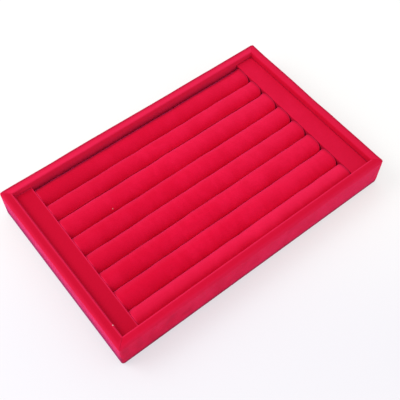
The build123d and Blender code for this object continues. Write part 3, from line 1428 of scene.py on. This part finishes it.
@dataclass
class EndBar:
    """A fibreboard strip across the ends of the rolls, wrapped in velvet."""

    side: Side
    wave: float = 0.05 * MM
    turned: float = -0.7
    wear_and_highlight: float = 0.0
    edge_wear_and_highlight: float = 1.0
    skew: ClassVar[float] = math.radians(0.55)
    edge_radius: float = 0.5 * MM
    turn_under: float = 4 * MM
    thickness: float = 0.7 * MM
    step: float = 3 * MM
    wave_length: float = 9 * MM
    unevenness: float = 0.3 * MM
    lump: float = 20 * MM
    wall_gap: float = 0.1 * MM
    closing: float = 0.8
    edge_mask_radius: float = 1.3 * MM
    # Darker towards the front.
    front_darkening: float = 0.25
    # Painted shade on the side that faces the rolls.
    hidden_dark: float = 0.4
    hidden_behind: Span = (0.1 * MM, 0.6 * MM)
    hidden_below: Span = (1.2 * MM, 0.5 * MM)

    def __post_init__(self) -> None:
        """Take the bar's box from the frame, and turn it straight."""
        self.name = self.side.name.lower()
        self.low, self.high = node_box(f"end_bar_velvet_{self.name}")
        self.centre, size = (self.low + self.high) / 2, self.high - self.low
        self.lean, self.rise = math.cos(self.skew), math.sin(self.skew)
        whole = self.lean**2 - self.rise**2
        self.width = (size.x * self.lean - size.y * self.rise) / whole
        self.length = (size.y * self.lean - size.x * self.rise) / whole
        self.half = Vector((self.width, self.length, size.z)) / 2

    @classmethod
    def inner_edge(cls, side: Side, along: Array) -> Array:
        """Find where the side of a bar that faces the rolls stands.

        Args:
            side: Which bar.
            along: The places along Y.

        Returns:
            Its place along X at each of them.
        """
        low, high = node_box(f"end_bar_velvet_{side.name.lower()}")
        if side is Side.LEFT:
            return high.x - math.tan(cls.skew) * (high.y - along)
        return low.x + math.tan(cls.skew) * (along - low.y)

    def build(self, material: Material) -> Workpiece:
        """Args:
            material: The velvet.

        Returns:
            The finished cloth.
        """
        bar = self.shape()
        self.settle(bar)
        bar.thicken(self.thickness)
        self.set_down(bar)
        self.paint_wear_light_and_shade(bar)
        bar.finish((f"end_bar_velvet_{self.name}",), "velvet", material)
        return bar

    def shape(self) -> Workpiece:
        """Shape the cloth straight, open underneath but for what is turned under.

        Returns:
            The cloth, without its thickness.
        """
        centre, half, high = self.centre, self.half, self.high
        bar = Workpiece.block(f"end_bar_{self.name}", centre - half, centre + half)
        bar.round_edges(self.edge_radius, 4, lambda a, b: max(a.z, b.z) > high.z - TINY)
        inner = half - Vector((self.turn_under, self.turn_under, 0))
        bar.slice_along(0, (centre.x - inner.x, centre.x, centre.x + inner.x))
        ends = (centre.y - inner.y, centre.y + inner.y)
        bar.slice_along(1, (*ends, *even(*ends, self.step)))
        bar.slice_along(2, even(self.low.z, high.z - self.edge_radius, self.step))
        bar.cut_out(
            lambda at, way: way.z < -0.9
            and abs(at.x - centre.x) < inner.x
            and abs(at.y - centre.y) < inner.y
        )
        bar.subdivide()
        return bar

    def settle(self, bar: Workpiece) -> None:
        """Let the cloth lie a little unevenly, with a wavy edge along the rolls.

        Args:
            bar: The cloth, without its thickness.
        """
        centre, half = self.centre, self.half
        top = ramp(bar.points()[:, 2], centre.z + half.z - 2 * MM, centre.z + half.z)
        bar.lay_unevenly(self.lump, self.unevenness, 0.6, top)
        points = bar.points()
        to_rolls = -self.side.value * (points[:, 0] - centre.x) / half.x
        share = ramp(to_rolls, 0.55, 1.0) * ramp(points[:, 2], centre.z - half.z, centre.z)
        run = (points[:, 1] - centre.y) / self.wave_length
        wave = 0.5 - 0.3 * np.sin(run * 2 * math.pi * 0.56) - 0.2 * np.sin(run * 2 * math.pi + 1.3)
        points[:, 0] += self.side.value * wave * share * self.wave
        bar.set_points(points)

    def set_down(self, bar: Workpiece) -> None:
        """Turn the bar as it was glued down, and let its cloth swell towards the wall.

        Args:
            bar: The cloth, with its thickness.
        """
        points = bar.points()
        middle = np.array(self.centre[:2])
        away = points[:, :2] - middle
        turned = np.array([[self.lean, self.rise], [-self.rise, self.lean]])
        points[:, :2] = away @ turned.T + middle
        wall = self.side.value * (node_box("insert_card")[1].x + self.wall_gap)
        outer = self.centre.x + self.side.value * self.half.x + self.rise * away[:, 1]
        share = ramp(self.side.value * away[:, 0] / self.half.x, 0, 0.9)
        points[:, 0] += (wall - outer) * share * self.closing
        bar.set_points(points)

    def paint_wear_light_and_shade(self, bar: Workpiece) -> None:
        """Paint wear and painted highlights, the turn of the pile, and painted shade.

        Args:
            bar: The cloth, in its place.
        """
        points = bar.points()
        # Wear and painted highlights along the edges.
        edges = bar.outer_edges(self.edge_mask_radius) * self.edge_wear_and_highlight
        bar.paint("wear_and_highlight", np.maximum(edges, self.wear_and_highlight))
        # Darker towards the front.
        from_back = ramp(-points[:, 1], 0, self.half.y)
        bar.paint("turned", self.turned - from_back * self.front_darkening)
        # Painted shade on the side that faces the rolls, below its top.
        behind = self.side.value * (points[:, 0] - self.inner_edge(self.side, points[:, 1]))
        deep, shallow = self.hidden_below
        hidden = 1 - ramp(behind, *self.hidden_behind)
        hidden *= 1 - ramp(points[:, 2], self.high.z - deep, self.high.z - shallow)
        bar.paint("painted_shade", hidden * self.hidden_dark)


@dataclass
class Lining:
    """The non-woven sheet under the base, sunk a little inside the turned-under velvet."""

    corner_radius: float = 2 * MM
    edge_radius: float = 0.12 * MM
    corner_margin: float = 1 * MM
    step: float = 3 * MM
    sink: float = 0.45 * MM
    velvet_margin: float = 9 * MM
    slope: float = 2.5 * MM

    def build(self, material: Material) -> Workpiece:
        """Args:
            material: The non-woven cloth.

        Returns:
            The finished sheet.
        """
        low, high = node_box("underside_lining")
        sheet = Workpiece.block("lining", low, high)
        sheet.round_edges(self.corner_radius, 4, lambda a, b: abs(a.z - b.z) > TINY)
        sheet.round_edges(self.edge_radius, 1, lambda a, b: abs(a.z - b.z) < TINY)
        for axis in (0, 1):
            inside = high[axis] - self.corner_radius - self.corner_margin
            edge = high[axis] - self.velvet_margin
            sheet.slice_along(axis, (-edge, edge, self.slope - edge, edge - self.slope))
            sheet.slice_along(axis, (-inside, inside, *even(-inside, inside, self.step)))
        points = sheet.points()
        from_edge = np.minimum(high.x - np.abs(points[:, 0]), high.y - np.abs(points[:, 1]))
        foot, top = self.velvet_margin, self.velvet_margin + self.slope
        points[:, 2] += self.sink * ramp(from_edge, foot, top)
        sheet.set_points(points)
        sheet.finish(("underside_lining",), "lining", material)
        return sheet


@dataclass
class Structure:
    """The boards, the card and the pins, which keep their own meshes."""

    rails: tuple[str, ...] = ("rail_front", "rail_right", "rail_back", "rail_left")
    boards: tuple[str, ...] = ("base_board", "end_bar_core_left", "end_bar_core_right")
    cards: tuple[str, ...] = ("insert_card",)
    pins: tuple[str, ...] = ("corner_pins", "base_pins")

    def dress(self, board: Material, card: Material, steel: Material) -> None:
        """Give each node its finish.

        Args:
            board: The rails', the base's and the bar cores' fibreboard.
            card: The card that the insert is glued to.
            steel: The pins' wire.
        """
        groups = ((self.rails + self.boards, board), (self.cards, card), (self.pins, steel))
        for names, material in groups:
            for name in names:
                dress(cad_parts[name], material)
                log.info("%s: dressed in %s", name, material.name)


# Studio


def bring_in(name: str, data: bpy.types.ID) -> Object:
    """Add an object to the scene.

    Args:
        name: Its name.
        data: Its lamp or camera.

    Returns:
        The object.
    """
    holder = bpy.data.objects.new(name, data)
    bpy.context.collection.objects.link(holder)
    return holder


@dataclass
class Studio:
    """A plain pale floor, soft light and the camera."""

    focal_px: float = 713.03
    frame_px: float = 400
    sensor: float = 36.0
    clip: Span = (0.01, 20)
    azimuth: float = -39.316
    elevation: float = 57.655
    distance: float = 509.45 * MM
    target: Three = (0.896 * MM, -4.917 * MM, 0.0)
    roll: float = 1.142
    sky: float = 0.85
    lamp_power: float = 4.0
    lamp_size: float = 0.55
    lamp_place: Three = (-0.55, 0.40, 0.75)
    floor_size: float = 6.0
    floor_colour: Colour = Colour(236, 234, 236)
    floor_lift: float = 0.58
    floor_far: Colour = Colour(255, 255, 254)
    floor_near_shade: Colour = Colour(246, 244, 249)
    floor_way: Three = (-0.634, -0.774, 0.0)
    floor_turns: Span = (-0.05, 0.12)

    def build(self) -> None:
        """Set up the floor, the light and the camera."""
        bpy.context.scene.view_settings.view_transform = "Standard"
        self.light()
        self.lay_floor()
        self.place_camera()

    def seen(self, sheet: NodeSheet) -> NodeSocket:
        """Find the rays that see the backdrop: direct, by reflection or through glass.

        Args:
            sheet: The nodes to add to.

        Returns:
            1 for such a ray, and 0 for any other.
        """
        path = sheet.add("LightPath").outputs
        seen = sheet.maths("MAXIMUM", path["Is Camera Ray"], path["Is Glossy Ray"])
        return sheet.maths("MAXIMUM", seen, path["Is Transmission Ray"])

    def light(self) -> None:
        """Set up an even sky and one large soft lamp, high at the back left."""
        world = bpy.data.worlds.new("studio")
        world.use_nodes = True
        bpy.context.scene.world = world
        sheet = NodeSheet(world.node_tree)
        strength = sheet.add("MapRange", self.seen(sheet), 0.0, 1.0, self.sky, 1.0)
        background = sheet.add("Background", Color=(1, 1, 1, 1), Strength=strength.outputs[0])
        sheet.add("OutputWorld", Surface=background.outputs[0])
        lamp = bpy.data.lights.new("softbox", "AREA")
        lamp.size = self.lamp_size
        lamp.energy = self.lamp_power
        holder = bring_in("softbox", lamp)
        holder.location = self.lamp_place
        holder.rotation_euler = Vector(self.lamp_place).to_track_quat("Z", "Y").to_euler()

    def lay_floor(self) -> None:
        """Lay a pale floor that reads white where nothing shades it, with painted shade that grows
        towards the camera.
        """
        bpy.ops.object.select_all(action="DESELECT")
        bpy.ops.mesh.primitive_plane_add(size=self.floor_size)
        floor = bpy.context.object
        floor.name = "studio_floor"
        material = bpy.data.materials.new("studio_floor")
        material.use_nodes = True
        sheet = NodeSheet(material.node_tree)
        seen = self.seen(sheet)
        place = sheet.add("TexCoord").outputs["Object"]
        # Painted shade on the floor, growing towards the camera.
        along = sheet.add("VectorMath", place, self.floor_way, operation="DOT_PRODUCT")
        nearer = sheet.between(along.outputs["Value"], *self.floor_turns, 0.0, 1.0)
        white = sheet.layered(self.floor_far, (nearer, self.floor_near_shade))
        colour = sheet.layered(self.floor_colour, (seen, white))
        shaded = sheet.add("BsdfDiffuse", Color=colour)
        plain = sheet.add("Emission", Color=white, Strength=1.0)
        lift = sheet.maths("MULTIPLY", seen, self.floor_lift)
        mix = sheet.add("MixShader", lift, shaded.outputs[0], plain.outputs[0])
        sheet.add("OutputMaterial", Surface=mix.outputs[0])
        dress(floor, material)

    def place_camera(self) -> None:
        """Set the camera at the photograph's angle, distance and tilt."""
        data = bpy.data.cameras.new("camera")
        data.sensor_width = self.sensor
        data.lens = self.focal_px / self.frame_px * self.sensor
        data.clip_start, data.clip_end = self.clip
        camera = bring_in("camera", data)
        turn, climb, tilt = (math.radians(a) for a in (self.azimuth, self.elevation, self.roll))
        outwards = (math.sin(turn) * math.cos(climb), -math.cos(turn) * math.cos(climb))
        back = Vector((*outwards, math.sin(climb)))
        right = (-back).cross(Vector((0, 0, 1))).normalized()
        up = right.cross(-back)
        tilted_right = right * math.cos(tilt) + up * math.sin(tilt)
        tilted_up = up * math.cos(tilt) - right * math.sin(tilt)
        axes = Matrix((tilted_right, tilted_up, back)).transposed().to_4x4()
        camera.matrix_world = Matrix.Translation(Vector(self.target) + back * self.distance) @ axes
        bpy.context.scene.camera = camera


def main() -> None:
    """Build and dress the tray, then set up the studio."""
    logging.basicConfig(level=logging.INFO, format="%(message)s")
    effects = Effects()
    velvet = Velvet().material("red_velvet", effects)
    FrameCover().build(velvet)
    RollRow().build(velvet, Foam().material("foam", effects))
    EndBar(Side.LEFT).build(velvet)
    # The right bar: a fainter painted edge highlight, and some wear and highlight all over.
    EndBar(Side.RIGHT, wave=0.2 * MM, turned=-0.3, wear_and_highlight=0.25, edge_wear_and_highlight=0.3).build(velvet)
    lining = Matted(
        base=Colour(111, 18, 31),
        dark=Colour(76, 10, 20),
        light=Colour(142, 36, 50),
        fibre=1.2 * MM,
        relief=0.08 * MM,
        roughness=0.9,
        embossed=1.4 * MM,
    )
    Lining().build(lining.material("dark_red_lining", effects))
    board = Matted(Colour(179, 151, 121), dark=Colour(128, 102, 74), light=Colour(206, 180, 150))
    card = Matted(Colour(173, 162, 144), dark=Colour(132, 122, 106), light=Colour(200, 190, 173))
    Structure().dress(
        board.material("fibreboard", effects),
        card.material("grey_card", effects),
        DrawnSteel().material("drawn_steel", effects),
    )
    Studio().build()


if __name__ == "__main__":
    main()
